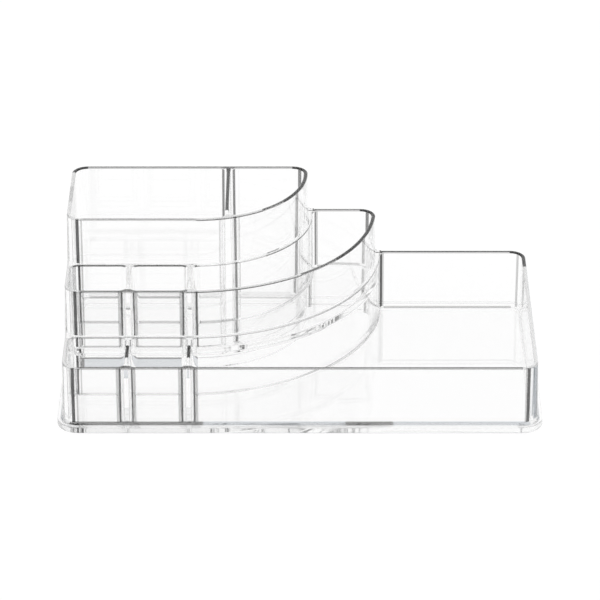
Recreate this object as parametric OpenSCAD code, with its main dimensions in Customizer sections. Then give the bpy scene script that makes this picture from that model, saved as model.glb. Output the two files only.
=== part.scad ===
// Clear stepped vanity organizer: three tiers of open pockets on one flanged base.
// Frame: X to the right, Y to the back, Z up, origin under the middle of the base. Millimetres.

/* [Overall] */
// Width over the outer walls
body_w = 297; // [250:1:400]
// Depth over the outer walls
body_d = 166; // [150:1:220]
// Thickness of the outer and tier walls
wall = 2.5; // [1.5:0.1:4]
// Radius of the outer corners, seen from above
corner_r = 10; // [6:0.5:14]

/* [Base] */
// How far the base flange stands out past the walls
flange_out = 3.9; // [1:0.1:8]
// Height of the flange's upper edge
flange_h = 4.2; // [3.6:0.1:8]
// Thickness of the tray's floor
floor_t = 3; // [2:0.1:3.5]

/* [Tray] */
// Height of the tray's rim
tray_h = 44; // [30:1:60]

/* [Middle tier] */
// Height of the middle tier's rim
middle_h = 74.7; // [65:0.1:90]
// Depth of the middle tier, from the back face to its front face
middle_d = 121.3; // [110:0.1:130]
// Width of the middle tier, from the left face to its right end
middle_w = 197.8; // [175:0.1:230]
// Radius of the middle tier's curved wall
middle_curve_r = 121.3; // [100:0.1:125]
// Height of the middle pockets' floor
middle_floor_z = 33.5; // [20:0.1:50]

/* [Top tier] */
// Height of the top tier's rim
top_h = 105.5; // [95:0.1:140]
// Depth of the top tier, from the back face to its front face
top_d = 80.8; // [60:0.1:90]
// Width of the top tier, from the left face to its right end
top_w = 153.5; // [120:0.1:165]
// Radius of the top tier's curved wall
top_curve_r = 70.8; // [50:0.1:72]
// Height of the top pockets' floor
top_floor_z = 9.5; // [7:0.1:18]

/* [Raised floors] */
// Thickness of the raised floors
raised_floor_t = 3; // [2:0.1:4]

/* [Dividers] */
// Thickness of every divider
divider_t = 2.3; // [1.5:0.1:4]
// Width of one small pocket, from wall to divider and from divider to divider
small_pocket_w = 36.4; // [30:0.1:45]
// Width of the top tier's left pocket
top_pocket_w = 98.2; // [60:0.1:110]

/* [Back steps] */
// Radius of the hollow sweep where a low back wall meets a taller tier
sweep_r = 7; // [3:0.5:10]

/* [Hidden] */
$fn = 96;

left_x = -body_w / 2;
right_x = body_w / 2;
front_y = -body_d / 2;
back_y = body_d / 2;
// How far a cutting shape runs past what it cuts
past = body_w;
// Width of the flat top of a back step's sweep, beside the taller tier
sweep_top = wall / 4;

// A tier is [front face y, right end x, radius of its curve]
middle_tier = [back_y - middle_d, left_x + middle_w, middle_curve_r];
top_tier = [back_y - top_d, left_x + top_w, top_curve_r];

// Places of the two small dividers' middles; the front row and the middle tier share them
divider_xs = [for (n = [1, 2]) left_x + wall + n * small_pocket_w + (n - 0.5) * divider_t];
top_divider_x = left_x + wall + top_pocket_w + divider_t / 2;

clear = [0.82, 0.88, 0.92, 0.45];
clear_floor = [0.74, 0.82, 0.88, 0.5];
clear_divider = [0.66, 0.78, 0.86, 0.55];

// Height of the middle of the small circle that rounds a tier's back right corner
function corner_y() = back_y - corner_r;
// The big curve's middle, and how far right of it the small circle's middle lies
function curve_y(tier) = tier[0] + tier[2];
function reach(tier) = sqrt(pow(tier[2] - corner_r, 2) - pow(curve_y(tier) - corner_y(), 2));
function corner_x(tier) = tier[1] - corner_r;
function curve_x(tier) = corner_x(tier) - reach(tier);
// Where a low back wall's inner face meets the taller tier's round corner
function seam_x(tier) = corner_x(tier) + sqrt(pow(corner_r, 2) - pow(corner_r - wall, 2));
function sweep_x(tier) = seam_x(tier) + sweep_top + sweep_r;

// Rectangle with round corners, all its faces drawn in by inset
module rounded_area(x0, y0, x1, y1, r, inset = 0) {
    translate([x0 + r, y0 + inset])
        square([x1 - x0 - 2 * r, y1 - y0 - 2 * inset]);
    translate([x0 + inset, y0 + r])
        square([x1 - x0 - 2 * inset, y1 - y0 - 2 * r]);
    for (x = [x0 + r, x1 - r], y = [y0 + r, y1 - r])
        translate([x, y])
            circle(r - inset);
}

// Footprint of the whole body
module tray_area(inset = 0) {
    rounded_area(left_x, front_y, right_x, back_y, corner_r, inset);
}

// The part of a plane that the big curve sweeps, from straight ahead to the round corner
module curve_region(tier) {
    polygon([
        [curve_x(tier), curve_y(tier)],
        [curve_x(tier), curve_y(tier) - past],
        [curve_x(tier) + past, curve_y(tier) - past],
        [
            curve_x(tier) + past * reach(tier) / tier[2],
            curve_y(tier) + past * (corner_y() - curve_y(tier)) / tier[2]
        ]
    ]);
}

// Where a tier's round back right corner lies
module corner_region(tier) {
    polygon([
        [corner_x(tier), corner_y()],
        [
            corner_x(tier) + past * reach(tier) / tier[2],
            corner_y() + past * (corner_y() - curve_y(tier)) / tier[2]
        ],
        [corner_x(tier) + past, corner_y() + past],
        [corner_x(tier), corner_y() + past]
    ]);
}

// Footprint of a tier: straight at the left, one big curve from the front to the back
module tier_area(tier, inset = 0) {
    intersection() {
        union() {
            rounded_area(left_x, tier[0], curve_x(tier) + corner_r, back_y, corner_r, inset);
            intersection() {
                translate([curve_x(tier), curve_y(tier)])
                    circle(tier[2] - inset, $fn = 2 * $fn);
                curve_region(tier);
            }
            polygon([
                [curve_x(tier), curve_y(tier)],
                [corner_x(tier), corner_y()],
                [corner_x(tier), back_y + past],
                [curve_x(tier), back_y + past]
            ]);
            translate([corner_x(tier), corner_y()])
                circle(corner_r - inset);
        }
        translate([left_x, front_y])
            square([body_w, body_d - inset]);
    }
}

// Upright wall round a tier, seen from above
module tier_ring(tier) {
    difference() {
        tier_area(tier);
        tier_area(tier, wall);
    }
}

// Upright wall round the whole body where no tier stands, seen from above
module tray_ring() {
    difference() {
        tray_area();
        tray_area(wall);
        tier_area(middle_tier);
    }
}

// Everything left of where the left corners end
module left_region() {
    translate([left_x - past, front_y - past])
        square([past + corner_r, body_d + 2 * past]);
}

// The straight stretch of a front wall, from the left corner to x1
module front_region(front, x1) {
    translate([left_x + corner_r, front - past])
        square([x1 - left_x - corner_r, past + corner_r]);
}

// Everything right of where the right corners begin
module right_region() {
    translate([right_x - corner_r, front_y - past])
        square([past + corner_r, body_d + 2 * past]);
}

// The narrow strip of floor that a divider at x covers
module divider_strip(x) {
    translate([x - divider_t / 2, front_y])
        square([divider_t, body_d]);
}

// A 2D shape raised from z0 to z1
module upright(z0, z1) {
    translate([0, 0, z0])
        linear_extrude(z1 - z0)
            children();
}

// Low back wall between a taller tier and x1, from z0 to its rim at z1, with a hollow
// sweep that climbs the tier's corner
module low_back_wall(tier, x1, z0, z1) {
    difference() {
        translate([0, back_y, 0])
            rotate([90, 0, 0])
                linear_extrude(wall)
                    difference() {
                        translate([corner_x(tier), z0])
                            square([x1 - corner_x(tier), z1 + sweep_r - z0]);
                        translate([sweep_x(tier), z1 + sweep_r])
                            circle(sweep_r);
                        translate([sweep_x(tier), z1])
                            square([past, past]);
                    }
        upright(-past, past)
            tier_area(tier);
    }
}

// Outline of the flange
module flange_area() {
    rounded_area(
        left_x - flange_out, front_y - flange_out,
        right_x + flange_out, back_y + flange_out,
        corner_r + flange_out
    );
}

module base_plate() {
    color(clear_floor) {
        upright(0, floor_t)
            difference() {
                flange_area();
                tier_area(middle_tier);
            }
        upright(0, flange_h)
            difference() {
                flange_area();
                tray_area();
            }
    }
}

module tray_left_wall() {
    color(clear)
        upright(floor_t, tray_h)
            intersection() {
                tray_ring();
                left_region();
            }
}

module tray_front_wall() {
    color(clear)
        upright(floor_t, tray_h)
            intersection() {
                tray_ring();
                front_region(front_y, right_x - corner_r);
            }
}

module tray_right_wall() {
    color(clear)
        upright(floor_t, tray_h)
            intersection() {
                tray_ring();
                right_region();
            }
}

module tray_back_wall() {
    color(clear)
        low_back_wall(middle_tier, right_x - corner_r, floor_t, tray_h);
}

module middle_left_wall() {
    color(clear)
        upright(0, middle_h)
            difference() {
                intersection() {
                    tier_ring(middle_tier);
                    left_region();
                }
                tier_area(top_tier);
            }
}

module middle_front_wall() {
    color(clear)
        upright(0, middle_h)
            intersection() {
                tier_ring(middle_tier);
                front_region(middle_tier[0], curve_x(middle_tier));
            }
}

module middle_curved_wall() {
    color(clear)
        upright(0, middle_h)
            difference() {
                intersection() {
                    tier_ring(middle_tier);
                    curve_region(middle_tier);
                }
                tier_area(top_tier);
            }
}

module middle_back_wall() {
    color(clear)
        low_back_wall(top_tier, corner_x(middle_tier), 0, middle_h);
}

module middle_corner_wall() {
    color(clear)
        upright(0, middle_h)
            intersection() {
                tier_ring(middle_tier);
                corner_region(middle_tier);
            }
}

module top_left_wall() {
    color(clear)
        upright(0, top_h)
            intersection() {
                tier_ring(top_tier);
                left_region();
            }
}

module top_front_wall() {
    color(clear)
        upright(0, top_h)
            intersection() {
                tier_ring(top_tier);
                front_region(top_tier[0], curve_x(top_tier));
            }
}

module top_curved_wall() {
    color(clear)
        upright(0, top_h)
            intersection() {
                tier_ring(top_tier);
                curve_region(top_tier);
            }
}

module top_back_wall() {
    color(clear)
        translate([left_x + corner_r, back_y - wall, 0])
            cube([corner_x(top_tier) - left_x - corner_r, wall, top_h]);
}

module top_corner_wall() {
    color(clear)
        upright(0, top_h)
            intersection() {
                tier_ring(top_tier);
                corner_region(top_tier);
            }
}

module middle_floor() {
    color(clear_floor)
        upright(middle_floor_z - raised_floor_t, middle_floor_z)
            difference() {
                tier_area(middle_tier, wall);
                tier_area(top_tier);
            }
}

module top_floor() {
    color(clear_floor)
        upright(top_floor_z - raised_floor_t, top_floor_z)
            tier_area(top_tier, wall);
}

// Divider of the front row, from the middle tier to the front wall
module front_divider(x) {
    color(clear_divider)
        upright(floor_t, tray_h)
            difference() {
                intersection() {
                    divider_strip(x);
                    tray_area(wall);
                }
                tier_area(middle_tier);
            }
}

// Divider of the middle tier, from the top tier to the middle front wall
module middle_divider(x) {
    color(clear_divider)
        upright(middle_floor_z, middle_h)
            difference() {
                intersection() {
                    divider_strip(x);
                    tier_area(middle_tier, wall);
                }
                tier_area(top_tier);
            }
}

module top_divider() {
    color(clear_divider)
        upright(top_floor_z, top_h)
            intersection() {
                divider_strip(top_divider_x);
                tier_area(top_tier, wall);
            }
}

base_plate();
tray_left_wall();
tray_front_wall();
tray_right_wall();
tray_back_wall();
middle_left_wall();
middle_front_wall();
middle_curved_wall();
middle_corner_wall();
middle_back_wall();
top_left_wall();
top_front_wall();
top_curved_wall();
top_corner_wall();
top_back_wall();
middle_floor();
top_floor();
front_divider(divider_xs[0]);  // front_divider_left
front_divider(divider_xs[1]);  // front_divider_right
middle_divider(divider_xs[0]);  // middle_divider_left
middle_divider(divider_xs[1]);  // middle_divider_right
top_divider();
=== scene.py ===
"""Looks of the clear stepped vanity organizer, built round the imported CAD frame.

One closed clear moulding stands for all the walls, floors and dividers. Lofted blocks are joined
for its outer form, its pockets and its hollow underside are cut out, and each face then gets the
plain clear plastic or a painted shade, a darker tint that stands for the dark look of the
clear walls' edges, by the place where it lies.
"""

import math

import bmesh
import bpy
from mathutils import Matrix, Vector
from mathutils.geometry import tessellate_polygon


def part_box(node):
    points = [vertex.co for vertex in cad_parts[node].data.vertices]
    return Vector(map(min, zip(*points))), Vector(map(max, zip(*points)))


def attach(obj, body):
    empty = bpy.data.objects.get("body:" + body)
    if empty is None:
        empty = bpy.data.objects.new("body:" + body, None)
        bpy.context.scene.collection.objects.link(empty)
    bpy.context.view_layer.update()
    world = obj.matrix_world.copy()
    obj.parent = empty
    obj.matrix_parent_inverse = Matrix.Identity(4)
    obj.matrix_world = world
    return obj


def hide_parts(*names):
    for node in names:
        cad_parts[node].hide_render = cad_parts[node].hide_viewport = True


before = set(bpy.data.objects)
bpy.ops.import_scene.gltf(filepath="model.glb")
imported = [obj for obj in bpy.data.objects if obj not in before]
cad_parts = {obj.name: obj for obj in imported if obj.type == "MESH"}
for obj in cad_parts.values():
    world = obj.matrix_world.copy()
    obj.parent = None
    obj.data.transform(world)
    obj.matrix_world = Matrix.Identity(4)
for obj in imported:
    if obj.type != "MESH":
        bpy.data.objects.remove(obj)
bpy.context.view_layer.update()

MM = 0.001
QUARTER = math.pi / 2

# Sizes read from the frame. All lengths from here on are in millimetres.


def lowest(node):
    """The corner of a node's box with the smallest coordinates."""
    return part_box(node)[0] / MM


def highest(node):
    """The corner of a node's box with the largest coordinates."""
    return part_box(node)[1] / MM


LEFT = lowest("tray_left_wall").x
RIGHT = highest("tray_right_wall").x
FRONT = lowest("tray_front_wall").y
BACK = highest("tray_back_wall").y
WALL = highest("tray_front_wall").y - FRONT
CORNER_R = lowest("tray_front_wall").x - LEFT
TRAY_RIM = highest("tray_front_wall").z
TRAY_FLOOR = lowest("tray_front_wall").z
MIDDLE_FLOOR = highest("middle_floor").z
MIDDLE_UNDERSIDE = lowest("middle_floor").z
TOP_FLOOR = highest("top_floor").z
TOP_UNDERSIDE = lowest("top_floor").z
FLANGE_OUT = LEFT - lowest("base_plate").x
FLANGE_H = highest("base_plate").z
SWEEP_R = highest("tray_back_wall").z - TRAY_RIM
TOP_DIVIDER_LEFT = lowest("top_divider").x
TOP_DIVIDER_RIGHT = highest("top_divider").x


class Tier:
    """A stepped part of the body: a straight front, one big curve and a small round corner."""

    def __init__(self, front_node, corner_node):
        self.front = lowest(front_node).y
        self.rim = highest(front_node).z
        self.right = highest(corner_node).x
        self.curve_x = highest(front_node).x
        self.corner = (self.right - CORNER_R, BACK - CORNER_R)
        reach = self.corner[0] - self.curve_x
        rise = self.corner[1] - self.front
        self.curve_r = (reach**2 + rise**2 - CORNER_R**2) / (2 * (rise - CORNER_R))
        self.curve = (self.curve_x, self.front + self.curve_r)

    def joint(self, inset=0.0):
        """Where the big curve, drawn in by inset, turns into the small corner."""
        dx = self.corner[0] - self.curve[0]
        dy = self.corner[1] - self.curve[1]
        length = math.hypot(dx, dy)
        r = self.curve_r - inset
        return (self.curve[0] + dx / length * r, self.curve[1] + dy / length * r)


MIDDLE = Tier("middle_front_wall", "middle_corner_wall")
TOP = Tier("top_front_wall", "top_corner_wall")

# Sizes that the CAD solids leave to the looks
FLARE_SHARE = 0.02  # how far the outer walls lean out for each millimetre of drop
DRAFT_SHARE = 0.008  # how far the pockets narrow for each millimetre of depth
RIM_ROUND = 1.0
POCKET_R = 5.0  # upright round corners of the pockets
LEDGE = 2.4  # flat step at the foot of a taller tier
TRAY_FLOOR_ROUND = 1.4
MIDDLE_FLOOR_ROUND = 1.6
TOP_FLOOR_ROUND = 3.4
MIDDLE_UNDER_ROUND = 1.5
TOP_UNDER_ROUND = 1.0
FLANGE_ROUND = 0.8
FLANGE_BEVEL = 0.5  # bevel round the flange's lower edge
FOOT_TOP = FLANGE_H + 3.2  # where the hollow curve above the flange meets the wall
SWEEP_TOP = 0.6  # flat end of a back step's sweep, beside the taller tier

# How far shapes that are joined or cut run into or past each other
BLOCK_SINK = 4.0  # a taller tier into the step below it
FOOT_SINK = 0.05  # the hollow curve at the foot into the wall
SWEEP_SINK = 2.0  # a sweep into the low back wall
SWEEP_SIDE = 1.0  # and into the taller tier
SWEEP_SKIN = 0.02  # a sweep's low end under the low wall's rim
PAST_RIM = 0.3  # a pocket's cutter over the rim
PAST_UNDERSIDE = 6.0  # a hollow's cutter below the underside

# How finely round shapes are cut into flat ones, and how near two points are one
CORNER_STEP = math.radians(7.5)
CURVE_STEP = math.radians(1.0)
ROUND_STEPS = 5
FILLET_STEPS = 6
SWEEP_STEPS = 12
SAME_POINT = 1e-4  # in an outline
SAME_ANGLE = 1e-6  # as a share of a step
SNAP = 0.002  # in the joined form
FLAT_LEFTOVER = 0.1  # loose leftovers of a cut are flatter than this
SMOOTH_ANGLE = math.radians(32)
SMOOTH_WEIGHT = 80


class Level:
    """One step of the body. Its tier is None for the tray, and taller is the tier on it."""

    def __init__(self, front, rim, floor, floor_round, dividers, tier, taller):
        self.front = front
        self.rim = rim
        self.floor = floor
        self.floor_round = floor_round
        self.dividers = dividers
        self.tier = tier
        self.taller = taller


TRAY_LEVEL = Level(
    FRONT,
    TRAY_RIM,
    TRAY_FLOOR,
    TRAY_FLOOR_ROUND,
    ("front_divider_left", "front_divider_right"),
    None,
    MIDDLE,
)
MIDDLE_LEVEL = Level(
    MIDDLE.front,
    MIDDLE.rim,
    MIDDLE_FLOOR,
    MIDDLE_FLOOR_ROUND,
    ("middle_divider_left", "middle_divider_right"),
    MIDDLE,
    TOP,
)
TOP_LEVEL = Level(
    TOP.front,
    TOP.rim,
    TOP_FLOOR,
    TOP_FLOOR_ROUND,
    ("top_divider",),
    TOP,
    None,
)
LEVELS = (TRAY_LEVEL, MIDDLE_LEVEL, TOP_LEVEL)

# Outlines, seen from above


class Line:
    """A straight side; its normal points into the outlined area."""

    def __init__(self, point, normal):
        self.p, self.n = point, normal

    def moved(self, d):
        """The same side, moved into the area by d."""
        return Line((self.p[0] + self.n[0] * d, self.p[1] + self.n[1] * d), self.n)

    def normal_at(self, _):
        """The normal into the area, the same at every point."""
        return self.n


class Circle:
    """A round side; turn is 1 where the area lies inside the circle, -1 where outside."""

    def __init__(self, centre, r, turn=1):
        self.c, self.r, self.turn = centre, r, turn

    def moved(self, d):
        """The same side, moved into the area by d."""
        return Circle(self.c, self.r - self.turn * d, self.turn)

    def normal_at(self, p):
        """The normal into the area at a point."""
        dx, dy = self.c[0] - p[0], self.c[1] - p[1]
        length = math.hypot(dx, dy)
        return (dx / length * self.turn, dy / length * self.turn)


def meet_lines(a, b):
    """The point where two lines cross."""
    ta, tb = (-a.n[1], a.n[0]), (-b.n[1], b.n[0])
    det = ta[0] * -tb[1] + tb[0] * ta[1]
    dx, dy = b.p[0] - a.p[0], b.p[1] - a.p[1]
    s = (dx * -tb[1] + tb[0] * dy) / det
    return [(a.p[0] + ta[0] * s, a.p[1] + ta[1] * s)]


def meet_line_circle(line, circle):
    """The two points where a line cuts a circle."""
    d = (circle.c[0] - line.p[0]) * line.n[0] + (circle.c[1] - line.p[1]) * line.n[1]
    foot = (circle.c[0] - line.n[0] * d, circle.c[1] - line.n[1] * d)
    half = math.sqrt(max(circle.r**2 - d**2, 0.0))
    return [(foot[0] - line.n[1] * s, foot[1] + line.n[0] * s) for s in (half, -half)]


def meet_circles(a, b):
    """The two points where two circles cut each other."""
    dx, dy = b.c[0] - a.c[0], b.c[1] - a.c[1]
    gap = math.hypot(dx, dy)
    along = (a.r**2 - b.r**2 + gap**2) / (2 * gap)
    half = math.sqrt(max(a.r**2 - along**2, 0.0))
    foot = (a.c[0] + dx / gap * along, a.c[1] + dy / gap * along)
    return [(foot[0] - dy / gap * s, foot[1] + dx / gap * s) for s in (half, -half)]


def meet(a, b, near):
    """Where two sides meet, nearest to a given point."""
    if isinstance(a, Circle) and isinstance(b, Circle):
        found = meet_circles(a, b)
    elif isinstance(a, Circle):
        found = meet_line_circle(b, a)
    elif isinstance(b, Circle):
        found = meet_line_circle(a, b)
    else:
        found = meet_lines(a, b)
    return min(found, key=lambda point: math.dist(point, near))


def swing(centre, r, start, end, step):
    """Points of an arc from start to end, two angles, the short way round."""
    turn = (end - start + math.pi) % (2 * math.pi) - math.pi
    n = max(1, math.ceil(abs(turn) / step - SAME_ANGLE))
    angles = [start + turn * i / n for i in range(n + 1)]
    return [(centre[0] + r * math.cos(a), centre[1] + r * math.sin(a)) for a in angles]


def round_corner(a, b, radius, near):
    """Points and inward normals of the corner between two sides; radius 0 is a plain joint."""
    if not radius:
        return [(near, a.normal_at(near))]
    c = meet(a.moved(radius), b.moved(radius), near)
    na, nb = a.normal_at(c), b.normal_at(c)
    start = math.atan2(-na[1], -na[0])
    end = math.atan2(-nb[1], -nb[0])
    points = swing(c, radius, start, end, CORNER_STEP)
    return [(p, ((c[0] - p[0]) / radius, (c[1] - p[1]) / radius)) for p in points]


def round_side(side, first, last):
    """Points and inward normals between two points of a side, none where it is straight."""
    if isinstance(side, Line):
        return []
    start = math.atan2(first[1] - side.c[1], first[0] - side.c[0])
    end = math.atan2(last[1] - side.c[1], last[0] - side.c[0])
    points = swing(side.c, side.r, start, end, CURVE_STEP)[1:-1]
    return [(p, side.normal_at(p)) for p in points]


def outline(sides, corners):
    """Points and inward normals of a closed chain; corners[i] = (radius, near) ends side i."""
    arcs = []
    for i, (radius, near) in enumerate(corners):
        arcs.append(round_corner(sides[i], sides[(i + 1) % len(sides)], radius, near))
    made = []
    for i, side in enumerate(sides):
        made += round_side(side, arcs[i - 1][-1][0], arcs[i][0][0])
        made += arcs[i]
    clean = []
    for point, normal in made:
        if not clean or math.dist(clean[-1][0], point) > SAME_POINT:
            clean.append((point, normal))
    if math.dist(clean[0][0], clean[-1][0]) < SAME_POINT:
        clean.pop()
    return clean


def box_outline(x0, y0, x1, y1, r, front_left_r=None):
    """A rectangle with round corners."""
    sides = [
        Line((x0, y0), (0, 1)),
        Line((x1, y0), (-1, 0)),
        Line((x1, y1), (0, -1)),
        Line((x0, y1), (1, 0)),
    ]
    corners = [(r, (x1, y0)), (r, (x1, y1)), (r, (x0, y1)), (front_left_r or r, (x0, y0))]
    return outline(sides, corners)


def tier_outline(tier, inset=0.0):
    """Footprint of a tier, its faces drawn in by inset."""
    r = CORNER_R - inset
    sides = [
        Line((LEFT, tier.front + inset), (0, 1)),
        Circle(tier.curve, tier.curve_r - inset),
        Circle(tier.corner, r),
        Line((LEFT, BACK - inset), (0, -1)),
        Line((LEFT + inset, BACK), (1, 0)),
    ]
    corners = [
        (0, (tier.curve_x, tier.front + inset)),
        (0, tier.joint(inset)),
        (0, (tier.corner[0], BACK - inset)),
        (r, (LEFT, BACK)),
        (r, (LEFT, tier.front)),
    ]
    return outline(sides, corners)


def tray_sides():
    """Outer sides and corners of the tray's inside."""
    sides = [
        Line((LEFT, FRONT + WALL), (0, 1)),
        Line((RIGHT - WALL, 0), (-1, 0)),
        Line((LEFT, BACK - WALL), (0, -1)),
    ]
    r = CORNER_R - WALL
    return sides, [(r, (RIGHT, FRONT)), (r, (RIGHT, BACK))]


def middle_sides(from_x):
    """Outer sides and corners of the middle tier's inside, from the left end at from_x."""
    sides = [
        Circle(MIDDLE.curve, MIDDLE.curve_r - WALL),
        Circle(MIDDLE.corner, CORNER_R - WALL),
        Line((LEFT, BACK - WALL), (0, -1)),
    ]
    corners = [(0, MIDDLE.joint(WALL)), (0, (MIDDLE.corner[0], BACK - WALL))]
    if from_x < MIDDLE.curve_x:
        sides.insert(0, Line((LEFT, MIDDLE.front + WALL), (0, 1)))
        corners.insert(0, (0, (MIDDLE.curve_x, MIDDLE.front + WALL)))
    return sides, corners


def step_area(outer, tier, gap, left_x, front, left_r=POCKET_R):
    """The area between outer sides and a taller tier, whose faces stand gap away."""
    sides = outer[0] + [
        Circle(tier.corner, CORNER_R + gap, -1),
        Circle(tier.curve, tier.curve_r + gap, -1),
    ]
    corners = outer[1] + [(POCKET_R, (tier.right, BACK - WALL)), (0, tier.joint(-gap))]
    if left_x < tier.curve_x:
        sides.append(Line((LEFT, tier.front - gap), (0, -1)))
        corners.append((0, (tier.curve_x, tier.front - gap)))
    sides.append(Line((left_x, 0), (1, 0)))
    corners += [(left_r, (left_x, tier.front)), (left_r, (left_x, front))]
    return outline(sides, corners)


# Solids


def rounding(z, inset, r, up, inward=1):
    """Levels of a quarter round that ends in a face at z; up is 1 for a top face, -1 for a
    bottom one, and inward is 1 where the outline draws in towards it, -1 where it spreads."""
    angles = [QUARTER * i / ROUND_STEPS for i in range(ROUND_STEPS + 1)]
    return [
        (z - up * r * (1 - math.sin(a)), inset + inward * r * (1 - math.cos(a))) for a in angles
    ]


def foot_fillet(inset):
    """Levels of the hollow curve from the flange's top edge up to the wall."""
    levels = []
    for i in range(1, FILLET_STEPS + 1):
        a = QUARTER * i / FILLET_STEPS
        z = FLANGE_H + (FOOT_TOP - FLANGE_H) * (1 - math.cos(a))
        levels.append((z, FLANGE_ROUND + (inset - FLANGE_ROUND) * math.sin(a)))
    return levels


def join_rings(bm, rings):
    """Side faces between rings with the same number of points."""
    for low, high in zip(rings, rings[1:]):
        for i in range(len(low)):
            j = (i + 1) % len(low)
            bm.faces.new((low[i], low[j], high[j], high[i]))


def solid(name, bm):
    """The object of a closed solid that bm holds."""
    bmesh.ops.recalc_face_normals(bm, faces=bm.faces)
    mesh = bpy.data.meshes.new(name)
    bm.to_mesh(mesh)
    bm.free()
    obj = bpy.data.objects.new(name, mesh)
    bpy.context.scene.collection.objects.link(obj)
    return obj


def loft(name, points, levels):
    """A closed solid of one outline at several levels, each (height, inset)."""
    bm = bmesh.new()
    rings = []
    for z, inset in sorted(levels):
        flat = [(p[0] + n[0] * inset, p[1] + n[1] * inset) for p, n in points]
        rings.append([bm.verts.new((x * MM, y * MM, z * MM)) for x, y in flat])
    join_rings(bm, rings)
    for ring in (rings[0], rings[-1]):
        flat = [Vector((vert.co.x / MM, vert.co.y / MM, 0)) for vert in ring]
        for corners in tessellate_polygon([flat]):
            bm.faces.new([ring[i] for i in corners])
    return solid(name, bm)


def block(name, points, rim, foot):
    """An outer block: a rounded rim, and walls that lean out towards the foot."""
    levels = [(foot, -(rim - foot) * FLARE_SHARE)]
    levels += rounding(rim, 0.0, RIM_ROUND, 1)
    return loft(name, points, levels)


def pocket(name, points, level):
    """A cutter for a pocket: a rounded rim, narrowing walls and a round foot."""
    draft = (level.rim - level.floor) * DRAFT_SHARE
    levels = rounding(level.floor, draft, level.floor_round, -1)
    levels += rounding(level.rim, 0.0, RIM_ROUND, 1, -1)
    levels.append((level.rim + PAST_RIM, -RIM_ROUND))
    return loft(name, points, levels)


def hollow(name, points, top, r):
    """A cutter for a space that is open from below, with a round upper edge."""
    return loft(name, points, [(-PAST_UNDERSIDE, 0.0)] + rounding(top, 0.0, r, 1))


def sweep_block(name, tier, rim):
    """The hollow sweep by which a low back wall climbs a taller tier's corner."""
    seam = tier.corner[0] + math.sqrt(CORNER_R**2 - (CORNER_R - WALL) ** 2)
    left = tier.corner[0] - SWEEP_SIDE
    right = seam + SWEEP_TOP + SWEEP_R
    points = [(left, rim - SWEEP_SINK), (right, rim - SWEEP_SINK), (right, rim - SWEEP_SKIN)]
    points += swing((right, rim + SWEEP_R), SWEEP_R, -QUARTER, -2 * QUARTER, QUARTER / SWEEP_STEPS)
    points.append((left, rim + SWEEP_R))
    bm = bmesh.new()
    rings = [
        [bm.verts.new((x * MM, y * MM, z * MM)) for x, z in points] for y in (BACK - WALL, BACK)
    ]
    join_rings(bm, rings)
    bm.faces.new(rings[0])
    bm.faces.new(list(reversed(rings[1])))
    return solid(name, bm)


def combine(base, others, operation):
    """Adds the others to base or cuts them from it, and removes them."""
    for other in others:
        mod = base.modifiers.new(other.name, "BOOLEAN")
        mod.object = other
        mod.operation = operation
        mod.solver = "MANIFOLD"
    graph = bpy.context.evaluated_depsgraph_get()
    mesh = bpy.data.meshes.new_from_object(base.evaluated_get(graph))
    base.modifiers.clear()
    base.data = mesh
    for other in others:
        bpy.data.objects.remove(other)


def make_flange():
    """The flange round the foot, with the hollow curve that rises from it to the wall."""
    out = FLANGE_OUT
    area = box_outline(LEFT - out, FRONT - out, RIGHT + out, BACK + out, CORNER_R + out)
    wall_inset = out - (TRAY_RIM - FOOT_TOP) * FLARE_SHARE + FOOT_SINK
    levels = [(0, FLANGE_BEVEL), (FLANGE_BEVEL, 0)]
    levels += rounding(FLANGE_H, 0.0, FLANGE_ROUND, 1) + foot_fillet(wall_inset)
    return loft("flange", area, levels)


def outer_form():
    """The whole outer form, still without pockets."""
    form = block("tray", box_outline(LEFT, FRONT, RIGHT, BACK, CORNER_R), TRAY_RIM, 0)
    others = [
        make_flange(),
        block("middle", tier_outline(MIDDLE), MIDDLE.rim, TRAY_RIM - BLOCK_SINK),
        block("top", tier_outline(TOP), TOP.rim, MIDDLE.rim - BLOCK_SINK),
        sweep_block("tray_sweep", MIDDLE, TRAY_RIM),
        sweep_block("middle_sweep", TOP, MIDDLE.rim),
    ]
    combine(form, others, "UNION")
    return form


def foot_gap(level):
    """How far a pocket stays from the taller tier: that tier's lean at the rim and a ledge."""
    return (level.taller.rim - level.rim) * FLARE_SHARE + LEDGE


def small_pockets(level):
    """Cutters for the small pockets at a level's left end, and the x where they end."""
    made = []
    x0 = LEFT + WALL
    y1 = level.taller.front - foot_gap(level)
    for n, divider in enumerate(level.dividers):
        front_left_r = POCKET_R if n else CORNER_R - WALL
        area = box_outline(x0, level.front + WALL, lowest(divider).x, y1, POCKET_R, front_left_r)
        made.append(pocket(f"small_pocket_{n}", area, level))
        x0 = highest(divider).x
    return made, x0


def step_pockets(level):
    """Cutters for all the pockets of a level that lies before a taller tier."""
    made, x = small_pockets(level)
    outer = middle_sides(x) if level.tier else tray_sides()
    area = step_area(outer, level.taller, foot_gap(level), x, level.front)
    made.append(pocket("wide_pocket", area, level))
    return made


def top_left_area():
    """The top tier's left pocket, which ends in the start of the big curve."""
    sides = [
        Line((LEFT, TOP.front + WALL), (0, 1)),
        Circle(TOP.curve, TOP.curve_r - WALL),
        Line((TOP_DIVIDER_LEFT, 0), (-1, 0)),
        Line((LEFT, BACK - WALL), (0, -1)),
        Line((LEFT + WALL, 0), (1, 0)),
    ]
    corners = [
        (0, (TOP.curve_x, TOP.front + WALL)),
        (POCKET_R, (TOP_DIVIDER_LEFT, TOP.front)),
        (POCKET_R, (TOP_DIVIDER_LEFT, BACK)),
        (CORNER_R - WALL, (LEFT, BACK)),
        (CORNER_R - WALL, (LEFT, TOP.front)),
    ]
    return outline(sides, corners)


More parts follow.
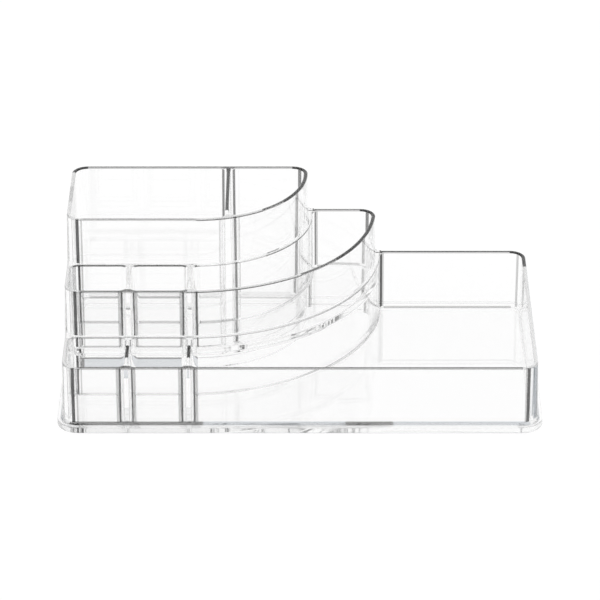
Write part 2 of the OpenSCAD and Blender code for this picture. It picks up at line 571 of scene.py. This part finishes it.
def top_right_area():
    """The top tier's quarter-round pocket."""
    sides = [
        Circle(TOP.curve, TOP.curve_r - WALL),
        Circle(TOP.corner, CORNER_R - WALL),
        Line((LEFT, BACK - WALL), (0, -1)),
        Line((TOP_DIVIDER_RIGHT, 0), (1, 0)),
    ]
    corners = [
        (0, TOP.joint(WALL)),
        (0, (TOP.corner[0], BACK - WALL)),
        (POCKET_R, (TOP_DIVIDER_RIGHT, BACK)),
        (POCKET_R, (TOP_DIVIDER_RIGHT, TOP.front)),
    ]
    return outline(sides, corners)


def cutters():
    """All that is cut from the outer form: the pockets, and the hollows under raised floors."""
    made = step_pockets(TRAY_LEVEL) + step_pockets(MIDDLE_LEVEL)
    made.append(pocket("top_left_pocket", top_left_area(), TOP_LEVEL))
    made.append(pocket("top_right_pocket", top_right_area(), TOP_LEVEL))
    made.append(hollow("under_top", tier_outline(TOP, WALL), TOP_UNDERSIDE, TOP_UNDER_ROUND))
    area = step_area(middle_sides(LEFT), TOP, 0, LEFT + WALL, MIDDLE.front, CORNER_R - WALL)
    made.append(hollow("under_middle", area, MIDDLE_UNDERSIDE, MIDDLE_UNDER_ROUND))
    return made


# Tints of the clear plastic. All but clear_plastic are painted shade, darker tints that stand for
# the dark look of the moulding's edges, corners and foot. Each is (share of light that a face passes
# on its way in and out again, which paints the shade; lean of that share from red to blue, a painted
# bluish shade; depth of the ripples; strength of the reflections, turned down on the darkest painted
# shades).
CLEAR_AND_PAINTED_SHADE_TINTS = {
    "clear_plastic": (0.99, 0.0, 0.05, 0.5),
    # from here on each entry is a painted shade
    "painted_rim_shade": (0.04, 0.0, 0.15, 0.3),
    "painted_black_rim_shade": (0.002, 0.0, 0.2, 0.1),
    "painted_grey_rim_shade": (0.16, 0.0, 0.15, 0.4),
    "painted_light_rim_shade": (0.6, 0.0, 0.1, 0.5),
    "painted_curved_rim_shade": (0.45, 0.0, 0.2, 0.5),
    "deep_shade": (0.006, 0.0, 0.1, 0.1),
    "corner_shade": (0.06, 0.0, 0.1, 0.3),
    "soft_shade": (0.35, 0.0, 0.1, 0.5),
    "painted_outer_corner_shade": (0.2, 0.02, 0.1, 0.5),
    "painted_fillet_shade": (0.8, 0.0, 0.05, 0.5),
    "painted_foot_band_shade": (0.5, 0.03, 0.1, 0.5),
    "painted_foot_line_shade": (0.12, 0.0, 0.15, 0.5),
}
PLASTIC_IOR = 1.5
RIPPLES_PER_METRE = 18.0
RIPPLE_HEIGHT = 0.002  # in metres, before a finish's own share of it


def clear_plastic(name, painted_tint, lean, ripples, shine):
    """Polished clear plastic with gentle moulding ripples; a base colour below white paints shade on
    it.
    """
    mat = bpy.data.materials.new(name)
    mat.use_nodes = True
    nodes, links = mat.node_tree.nodes, mat.node_tree.links
    shader = nodes["Principled BSDF"]
    # painted shade: the base colour darkens the light a face passes, and lean tints that shade blue
    shader.inputs["Base Color"].default_value = (painted_tint - lean, painted_tint, painted_tint + lean, 1)
    shader.inputs["Transmission Weight"].default_value = 1.0
    shader.inputs["Roughness"].default_value = 0.0
    shader.inputs["IOR"].default_value = PLASTIC_IOR
    # shine is turned down on the darkest painted shades so that they read near black
    shader.inputs["Specular IOR Level"].default_value = shine
    coords = nodes.new("ShaderNodeTexCoord")
    noise = nodes.new("ShaderNodeTexNoise")
    noise.inputs["Scale"].default_value = RIPPLES_PER_METRE
    noise.inputs["Detail"].default_value = 1.0
    bump = nodes.new("ShaderNodeBump")
    bump.inputs["Strength"].default_value = ripples
    bump.inputs["Distance"].default_value = RIPPLE_HEIGHT
    links.new(coords.outputs["Object"], noise.inputs["Vector"])
    links.new(noise.outputs["Fac"], bump.inputs["Height"])
    links.new(bump.outputs["Normal"], shader.inputs["Normal"])
    return mat


# Where the painted shades lie. A face is placed by its middle, in millimetres, and by its normal.
BESIDE = 0.1  # a face this far past a wall still counts as the wall's
ABOVE = 0.05  # and one this far above a rim as the rim's
RIM_REACH = WALL + RIM_ROUND + BESIDE
RIM_CUT = WALL + 0.75  # the painted shade of the rim ends here on what runs into a wall
LEDGE_REACH = LEDGE + RIM_ROUND + 0.7  # a ledge, its round edge and the taller wall's lean
CURVE_LEDGE_REACH = LEDGE + RIM_ROUND + 1.0
BLACK_END = 24.0  # painted black shade on a stretch of the right rim, from the back
DARK_SIDE = (27.0, 50.0)  # painted shade on a stretch of the top's left rim, from its front
DARK_STRIPS = {
    TRAY_LEVEL: (FRONT + 14.5, FRONT + 30.8),
    TOP_LEVEL: (TOP.front + 14.0, BACK - WALL - 0.8),
}  # painted dark shade on stretches of the dividers' tops, from y to y
SMALL_END = lowest("middle_divider_right").x
# stretches of x where the foot gets a darker painted shade line
DARK_FOOT = (
    (LEFT, highest("front_divider_right").x + 8.0),
    (MIDDLE.right - 21.0, MIDDLE.right + 9.0),
)
FOOT_BAND = FLANGE_H + 0.45  # the painted shade band of the hollow curve at the foot starts here
BY_BACK = BACK - WALL - 4.0  # round floor edges behind this run along the back wall
UNDER_REACH = 1.5  # to either side of the front wall's inner face, in the hollow under the top
CURVE_DARK = 37.0  # degrees along a big curve, from straight ahead, where the painted shade of its rim turns dark
CURVE_BLACK = 52.0  # and where that painted shade turns black

# What a face's normal says: its z is 1 for a level face, 0 for an upright one, and below 0 for
# one that looks down, and its y is -1 for one that looks straight to the front.
RISING = 0.1  # rims have a z above this
STEEP = 0.6  # below this is the steep outer half of a round edge
FLAT = 0.95  # above this is a flat top
FACING = 0.6  # a y below minus this faces the front
UPRIGHT = 0.05  # a z within this is an upright wall
FOOT_RISING = 0.02
FOOT_STEEP = 0.75
UNDERSIDE = -0.98
FLOOR_LEVEL = 0.995  # above this is a floor itself, not its round edge
FLOOR_LOW = 0.8  # the low part of a floor's round edge
FLOOR_HIGH = 0.3  # below this is the part of it that ends in the wall
ALONG_X = 3.0  # an edge along x has a y this many times its x
TURNED = 0.3  # inside a front wall, a y above this looks back
SQUARE = 0.99  # and above this straight back

# Bands of painted shade on the upright round corners, by turn in degrees: 0 faces front or back, 90
# faces a side
SHADES = {
    "front_left": [(0, 7.5, "soft_shade"), (15, 30, "deep_shade"), (60, 90, "corner_shade")],
    "front_divider": [(0, 22.5, "soft_shade"), (22.5, 37.5, "deep_shade")],
    "front_right": [(15, 22.5, "soft_shade"), (22.5, 37.5, "deep_shade")],
    "middle_curve_end": [(7.5, 22.5, "deep_shade"), (22.5, 37.5, "soft_shade")],
    "top_divider_left": [(0, 22.5, "corner_shade")],
    "top_divider_right": [(7.5, 30, "corner_shade")],
    # painted shade on the right outer corners only, as the light falls unevenly from side to side
    "outside_right": [(45, 82.5, "painted_outer_corner_shade")],
    "back_divider": [(22.5, 45, "corner_shade")],
    "back_tier": [(30, 52.5, "corner_shade")],
    "back_step": [(22.5, 37.5, "soft_shade"), (37.5, 60, "deep_shade")],
    "back_step_middle": [(15, 30, "soft_shade"), (30, 45, "corner_shade")],
    "back_right": [(37.5, 52.5, "soft_shade")],
}
BAND_EDGE = 0.5  # degrees kept free at each end of a band
BY_FRONT = (-1.0, CORNER_R + 2.0)  # round corners at a front wall lie this far behind its face
BACK_STEP = POCKET_R + 2 * LEDGE  # those past a tier's end lie this near to it
MIDDLE_CURVE_FROM = MIDDLE.curve_x - 1.0  # from here the middle's front corners end its curve
TOP_CURVE_FROM = TOP_DIVIDER_RIGHT + POCKET_R - 0.6  # past the top divider's round end
CURVE_REACH = 8.0  # faces that run along a big curve lie this near to it
CURVE_TURN = math.radians(4)  # and turn away from it by less than this


def on_curve(tier, x, y, reach):
    """Whether a place lies within reach of a tier's big curve."""
    off = math.dist((x, y), tier.curve) - tier.curve_r
    return x > tier.curve_x and abs(off) < reach


def on_dark_strip(x, y, level):
    """Whether a place lies on the painted dark shade of a divider's top."""
    if level not in DARK_STRIPS:
        return False
    low, high = DARK_STRIPS[level]
    if not low < y < high:
        return False
    return any(lowest(d).x - BESIDE < x < highest(d).x + BESIDE for d in level.dividers)


def corner_rim_painted_shade(x, y, level):
    """The painted shade of a rim on an outer round corner of its level, light at the front corners
    and dark at the back, or None away from one.
    """
    front_y, back_y = level.front + CORNER_R, BACK - CORNER_R
    corners = [(LEFT + CORNER_R, front_y, -1, -1, "painted_light_rim_shade")]
    if level.tier:
        corners.append((*level.tier.corner, 1, 1, "painted_black_rim_shade"))
    else:
        corners.append((RIGHT - CORNER_R, front_y, 1, -1, "painted_light_rim_shade"))
        corners.append((RIGHT - CORNER_R, back_y, 1, 1, "painted_black_rim_shade"))
    if not level.taller:
        corners.append((LEFT + CORNER_R, back_y, -1, 1, "painted_black_rim_shade"))
    for cx, cy, sx, sy, painted_shade in corners:
        outside = (x - cx) * sx > 0 and (y - cy) * sy > 0
        if outside and math.dist((x, y), (cx, cy)) > CORNER_R / 2:
            return painted_shade
    return None


def swung(tier, x, y):
    """How far along a tier's big curve a place lies, in degrees from straight ahead."""
    return math.degrees(math.atan2(x - tier.curve[0], tier.curve[1] - y))


def own_curve_rim_painted_shade(tier, x, y, lean):
    """The painted shade of the rim along a tier's own big curve: light in front, dark near its end.
    """
    steep = lean < STEEP
    if swung(tier, x, y) > CURVE_BLACK:
        return "corner_shade" if steep else "painted_black_rim_shade"
    if swung(tier, x, y) > CURVE_DARK:
        return "soft_shade" if steep else "painted_rim_shade"
    if steep:
        return "painted_rim_shade"
    return "painted_curved_rim_shade" if lean < FLAT else "painted_light_rim_shade"


def ledge_curve_painted_shade(tier, x, y, lean):
    """The painted shade of the ledge that runs round the foot of a tier's big curve, on its round
    edge only.
    """
    if lean > STEEP:
        return "clear_plastic"
    return "corner_shade" if swung(tier, x, y) > CURVE_DARK and tier is TOP else "soft_shade"


def straight_rim_painted_shade(x, y, normal, level):
    """The painted shade of a rim along a straight outer wall, lighter on a round edge that faces the
    front, or None.
    """
    facing = normal.y < -FACING
    if x > RIGHT - RIM_REACH and y > BACK - BLACK_END:
        return "painted_black_rim_shade"
    if x < LEFT + RIM_REACH and level is TOP_LEVEL and DARK_SIDE[0] < y - TOP.front < DARK_SIDE[1]:
        return "soft_shade"
    if x < LEFT + RIM_REACH or x > RIGHT - RIM_REACH:
        return "painted_light_rim_shade"
    if y < level.front + RIM_REACH and not (level.tier and x > level.tier.curve_x):
        if level is TOP_LEVEL:
            return "painted_curved_rim_shade" if facing else "painted_grey_rim_shade"
        return "soft_shade" if facing else "painted_rim_shade"
    if y > BACK - RIM_REACH:
        if facing:
            return "soft_shade"
        return "painted_black_rim_shade" if level is TRAY_LEVEL else "painted_rim_shade"
    return None


def rim_painted_shade(x, y, normal, level):
    """The painted shade of a rim at (x, y), or the plain clear plastic, by the wall that it runs
    along.
    """
    painted_shade = corner_rim_painted_shade(x, y, level) or straight_rim_painted_shade(x, y, normal, level)
    if painted_shade:
        return painted_shade
    tier, taller = level.tier, level.taller
    if tier and on_curve(tier, x, y, RIM_REACH):
        return own_curve_rim_painted_shade(tier, x, y, normal.z)
    if taller and on_curve(taller, x, y, CURVE_LEDGE_REACH):
        return ledge_curve_painted_shade(taller, x, y, normal.z)
    if taller and x < taller.curve_x and -LEDGE_REACH < y - taller.front < 0:
        if normal.z > FLAT:
            return "clear_plastic"
        return "painted_rim_shade" if level is MIDDLE_LEVEL else "soft_shade"
    return "painted_black_rim_shade" if on_dark_strip(x, y, level) else "clear_plastic"


def faces_curve(tier, x, y, normal):
    """Whether a face at (x, y) belongs to a tier's big curve or to one that runs beside it."""
    dx, dy = tier.curve[0] - x, tier.curve[1] - y
    off = abs(dx * normal.y - dy * normal.x) / math.hypot(dx, dy)
    return off < math.sin(CURVE_TURN) and on_curve(tier, x, y, CURVE_REACH)


def beside_top_curve(x, y):
    """Whether an inner face lies along the top tier's curve, past the divider's round end."""
    return x > TOP_CURVE_FROM and y > TOP.front


def front_corner_kind(x, y):
    """Which kind of inner corner at a front wall a place belongs to."""
    if x < LEFT + CORNER_R:
        return "front_left"
    if x > RIGHT - CORNER_R:
        return "front_right"
    if MIDDLE.front < y < MIDDLE.front + CORNER_R and x > MIDDLE_CURVE_FROM:
        return "middle_curve_end"
    if y > TOP.front and x > TOP.curve_x:
        return "top_divider_left" if x < TOP_DIVIDER_LEFT else "top_divider_right"
    return "front_divider"


def back_corner_kind(x):
    """Which kind of inner corner at the back wall a place belongs to, or None."""
    if x > RIGHT - CORNER_R:
        return "back_right"
    if 0 < x - MIDDLE.right < BACK_STEP:
        return "back_step"
    if 0 < x - TOP.right < BACK_STEP:
        return "back_step_middle"
    if any(abs(x - tier.right) < CORNER_R for tier in (MIDDLE, TOP)):
        return "back_tier"
    return "back_divider" if x > LEFT + CORNER_R else None


def corner_kind(x, y, normal):
    """Which of the round corners with painted shade a face at (x, y) belongs to, or None."""
    by_front = any(BY_FRONT[0] < y - level.front < BY_FRONT[1] for level in LEVELS)
    if by_front and normal.y > 0 and not beside_top_curve(x, y):
        return front_corner_kind(x, y)
    if y < FRONT + CORNER_R and x > RIGHT - CORNER_R:
        return "outside_right"
    if y > BACK - CORNER_R and normal.y < 0:
        return back_corner_kind(x)
    return None


def wall_painted_shade(x, y, z, normal):
    """The painted shade of an upright face: painted darker where a round corner turns away."""
    if z < FOOT_TOP or any(faces_curve(tier, x, y, normal) for tier in (MIDDLE, TOP)):
        return "clear_plastic"
    turn = math.degrees(math.atan2(abs(normal.x), abs(normal.y)))
    for low, high, painted_shade in SHADES.get(corner_kind(x, y, normal), []):
        if low + BAND_EDGE < turn < high - BAND_EDGE:
            return painted_shade
    return "clear_plastic"


def foot_painted_shade(x, y, z, lean):
    """The painted shade of the flange and of the hollow curve above it, painted on the front half
    only.
    """
    if y > 0:
        return "clear_plastic"
    if FOOT_BAND < z < FOOT_TOP and lean > FOOT_RISING:
        dark = lean < FOOT_STEEP and any(low < x < high for low, high in DARK_FOOT)
        return "painted_foot_line_shade" if dark else "painted_foot_band_shade"
    return "painted_foot_line_shade" if z < FLANGE_BEVEL and lean > UNDERSIDE else "clear_plastic"


def top_floor_edge_painted_shade(x, normal):
    """The painted shade of the round edge of the top pockets' floor."""
    low = normal.z > FLOOR_LOW
    if normal.y > 0:
        return "corner_shade" if low else "soft_shade"
    return "soft_shade" if low and x < SMALL_END else "painted_fillet_shade"


def floor_edge_painted_shade(x, y, z, normal):
    """The painted shade of the round edge where a straight wall meets a floor."""
    if abs(normal.y) < ALONG_X * abs(normal.x) or not UPRIGHT < normal.z < FLOOR_LEVEL:
        return "clear_plastic"
    if TOP_FLOOR < z < TOP_FLOOR + TOP_FLOOR_ROUND and y > TOP.front:
        return top_floor_edge_painted_shade(x, normal)
    for level in (TRAY_LEVEL, MIDDLE_LEVEL):
        if level.floor < z < level.floor + level.floor_round:
            by_back = y > BY_BACK and x > MIDDLE.right
            behind_small = level is MIDDLE_LEVEL and y > MIDDLE.front + CORNER_R
            shaded = normal.y < 0 and FLOOR_HIGH < normal.z < FLAT
            return "soft_shade" if shaded and (by_back or behind_small) else "painted_fillet_shade"
    return "clear_plastic"


def under_top_painted_shade(x, y, z, normal):
    """The painted shade of the front wall inside the hollow under the top tier, a bluish grey that
    stands for the painted shadow on the ground under that tier, or None.
    """
    near_front = abs(y - TOP.front - WALL) < UNDER_REACH and x < SMALL_END
    if z > TOP_UNDERSIDE or not near_front or normal.y < TURNED:
        return None
    return "painted_foot_band_shade" if normal.y > SQUARE else "corner_shade"


def painted_shade_of(face):
    """The name of the painted shade, or of the plain clear plastic, that a face gets by its place.
    """
    x, y, z = face.center / MM
    normal = face.normal
    for level in LEVELS:
        if normal.z > RISING and level.rim - RIM_ROUND < z < level.rim + ABOVE:
            return rim_painted_shade(x, y, normal, level)
    if not (LEFT < x < RIGHT and FRONT < y < BACK):
        return foot_painted_shade(x, y, z, normal.z)
    painted_shade = under_top_painted_shade(x, y, z, normal)
    if painted_shade:
        return painted_shade
    if abs(normal.z) > UPRIGHT:
        return floor_edge_painted_shade(x, y, z, normal)
    return wall_painted_shade(x, y, z, normal)


def drop_leftovers(bm):
    """Takes out loose flat leftovers of the cuts."""
    left = set(bm.verts)
    while left:
        shell, todo = set(), [next(iter(left))]
        while todo:
            vert = todo.pop()
            if vert not in shell:
                shell.add(vert)
                todo += [edge.other_vert(vert) for edge in vert.link_edges]
        left -= shell
        heights = [vert.co.z for vert in shell]
        if max(heights) - min(heights) < FLAT_LEFTOVER * MM:
            bmesh.ops.delete(bm, geom=list(shell), context="VERTS")


def painted_shade_cuts():
    """The upright planes, (axis, place), where one painted shade ends and another begins."""
    cuts = [("x", LEFT + CORNER_R), ("x", RIGHT - CORNER_R)]
    cuts += [("y", BACK - CORNER_R), ("y", BACK - RIM_CUT), ("y", BACK - BLACK_END)]
    cuts.append(("x", SMALL_END))
    cuts += [("x", x) for stretch in DARK_FOOT for x in stretch if x > LEFT]
    cuts += [("y", TOP.front + y) for y in DARK_SIDE]
    for level in LEVELS:
        cuts += [("y", level.front + CORNER_R), ("y", level.front + RIM_CUT)]
    cuts += [("y", level.taller.front - LEDGE_REACH) for level in LEVELS if level.taller]
    cuts += [("y", y) for strip in DARK_STRIPS.values() for y in strip]
    return cuts


def split_faces(obj):
    """Cleans the mesh and cuts its faces along the lines where the painted shades change."""
    bm = bmesh.new()
    bm.from_mesh(obj.data)
    drop_leftovers(bm)
    bmesh.ops.dissolve_degenerate(bm, dist=SNAP * MM, edges=bm.edges)
    for axis, place in painted_shade_cuts():
        normal = (1, 0, 0) if axis == "x" else (0, 1, 0)
        bmesh.ops.bisect_plane(
            bm,
            geom=bm.verts[:] + bm.edges[:] + bm.faces[:],
            dist=SNAP * MM,
            plane_co=[place * MM * part for part in normal],
            plane_no=normal,
        )
    bmesh.ops.dissolve_degenerate(bm, dist=SNAP * MM, edges=bm.edges)
    bm.to_mesh(obj.data)
    bm.free()


def paint_shade_on_faces(obj):
    """Gives each face its painted shade or the plain clear plastic."""
    split_faces(obj)
    names = list(CLEAR_AND_PAINTED_SHADE_TINTS)
    obj.data.materials.clear()
    for name in names:
        obj.data.materials.append(clear_plastic(name, *CLEAR_AND_PAINTED_SHADE_TINTS[name]))
    for face in obj.data.polygons:
        face.material_index = names.index(painted_shade_of(face))


def smooth(obj):
    """Smooth shading on the round edges, flat on the wide faces."""
    bpy.context.view_layer.objects.active = obj
    for other in bpy.context.selected_objects:
        other.select_set(False)
    obj.select_set(True)
    bpy.ops.object.shade_smooth_by_angle(angle=SMOOTH_ANGLE)
    mod = obj.modifiers.new("weighted", "WEIGHTED_NORMAL")
    mod.keep_sharp = True
    mod.weight = SMOOTH_WEIGHT


def make_moulding():
    """The whole clear moulding, which stands for every solid of the frame."""
    body = outer_form()
    body.name = "clear_moulding"
    combine(body, cutters(), "DIFFERENCE")
    paint_shade_on_faces(body)
    smooth(body)
    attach(body, "root")
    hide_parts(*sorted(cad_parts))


# Floor, light and camera
FLOOR_HALF = 6.0  # in metres
FLOOR_DROP = 0.0002  # in metres, so that the floor and the underside are never in one plane
FLOOR_COLOUR = 0.1
FLOOR_GLOW = 0.93  # the floor as the camera sees it, directly or in the plastic; 1 is white
ROOM_LEVEL = 0.3  # the room in front and at the sides, as it shows in the plastic
WHITE_LEVEL = 1.0
BACKDROP_FROM = (0.35, 0.65)  # directions whose y passes these show the white backdrop
CEILING_FROM = (0.75, 0.9)  # and those whose z passes these the white ceiling
CAMERA_PITCH = math.radians(27.0)
CAMERA_DISTANCE = 2347.5
CAMERA_AIM_Z = 49.4
CAMERA_FAR = 50.0  # in metres
SENSOR = 36.0
FOCAL_PX = 3665.4
FRAME_PX = 600


def math_node(nodes, links, operation, a, b):
    """The result of an operation on two values, each a number or another node's output."""
    node = nodes.new("ShaderNodeMath")
    node.operation = operation
    for socket, value in zip(node.inputs, (a, b)):
        if isinstance(value, float):
            socket.default_value = value
        else:
            links.new(value, socket)
    return node.outputs[0]


def step_node(nodes, links, source, low, high):
    """0 below low, 1 above high, smooth between."""
    node = nodes.new("ShaderNodeMapRange")
    node.interpolation_type = "SMOOTHSTEP"
    node.inputs["From Min"].default_value = low
    node.inputs["From Max"].default_value = high
    links.new(source, node.inputs["Value"])
    return node.outputs["Result"]


def floor_material():
    """Pale floor that takes the object's shadow and looks near white to the camera."""
    mat = bpy.data.materials.new("floor")
    mat.use_nodes = True
    nodes, links = mat.node_tree.nodes, mat.node_tree.links
    nodes.clear()
    out = nodes.new("ShaderNodeOutputMaterial")
    add = nodes.new("ShaderNodeAddShader")
    diffuse = nodes.new("ShaderNodeBsdfDiffuse")
    diffuse.inputs["Color"].default_value = (FLOOR_COLOUR, FLOOR_COLOUR, FLOOR_COLOUR, 1)
    glow = nodes.new("ShaderNodeEmission")
    path = nodes.new("ShaderNodeLightPath").outputs
    seen = math_node(nodes, links, "MAXIMUM", path["Is Camera Ray"], path["Is Glossy Ray"])
    seen = math_node(nodes, links, "MAXIMUM", seen, path["Is Transmission Ray"])
    strength = math_node(nodes, links, "MULTIPLY", seen, FLOOR_GLOW)
    links.new(strength, glow.inputs["Strength"])
    links.new(diffuse.outputs[0], add.inputs[0])
    links.new(glow.outputs[0], add.inputs[1])
    links.new(add.outputs[0], out.inputs["Surface"])
    return mat


def make_floor():
    """A wide plane just under the object."""
    half = FLOOR_HALF
    mesh = bpy.data.meshes.new("floor")
    corners = [(-half, -half, 0), (half, -half, 0), (half, half, 0), (-half, half, 0)]
    mesh.from_pydata(corners, [], [(0, 1, 2, 3)])
    floor = bpy.data.objects.new("floor", mesh)
    bpy.context.scene.collection.objects.link(floor)
    floor.location.z = -FLOOR_DROP
    floor.data.materials.append(floor_material())


def make_world():
    """A bright studio: white backdrop and ceiling, and a dimmer room that the plastic shows."""
    world = bpy.data.worlds.new("studio")
    bpy.context.scene.world = world
    world.use_nodes = True
    nodes, links = world.node_tree.nodes, world.node_tree.links
    background = nodes["Background"]
    background.inputs["Color"].default_value = (1, 1, 1, 1)
    coords = nodes.new("ShaderNodeTexCoord")
    split = nodes.new("ShaderNodeSeparateXYZ")
    links.new(coords.outputs["Generated"], split.inputs[0])
    behind = step_node(nodes, links, split.outputs["Y"], *BACKDROP_FROM)
    above = step_node(nodes, links, split.outputs["Z"], *CEILING_FROM)
    white = math_node(nodes, links, "MAXIMUM", behind, above)
    room = math_node(nodes, links, "MULTIPLY", white, WHITE_LEVEL - ROOM_LEVEL)
    room = math_node(nodes, links, "ADD", room, ROOM_LEVEL)
    path = nodes.new("ShaderNodeLightPath").outputs
    in_plastic = math_node(
        nodes, links, "MAXIMUM", path["Is Glossy Ray"], path["Is Transmission Ray"]
    )
    mix = nodes.new("ShaderNodeMix")
    mix.inputs[2].default_value = WHITE_LEVEL
    links.new(in_plastic, mix.inputs[0])
    links.new(room, mix.inputs[3])
    links.new(mix.outputs[0], background.inputs["Strength"])


def make_camera():
    """The photograph's camera, straight in front and looking down."""
    data = bpy.data.cameras.new("camera")
    data.sensor_width = SENSOR
    data.lens = SENSOR * FOCAL_PX / FRAME_PX
    data.clip_end = CAMERA_FAR
    cam = bpy.data.objects.new("camera", data)
    bpy.context.scene.collection.objects.link(cam)
    away = -CAMERA_DISTANCE * math.cos(CAMERA_PITCH)
    height = CAMERA_AIM_Z + CAMERA_DISTANCE * math.sin(CAMERA_PITCH)
    cam.location = (0, away * MM, height * MM)
    cam.rotation_euler = (QUARTER - CAMERA_PITCH, 0, 0)
    bpy.context.scene.camera = cam


def set_view():
    """Plain view settings, and enough bounces for light to leave the clear walls again."""
    scene = bpy.context.scene
    scene.view_settings.view_transform = "Standard"
    scene.cycles.max_bounces = 128
    scene.cycles.transmission_bounces = 96
    scene.cycles.glossy_bounces = 96
    scene.cycles.diffuse_bounces = 8
    scene.cycles.blur_glossy = 0.0


make_camera()
make_world()
make_floor()
make_moulding()
set_view()
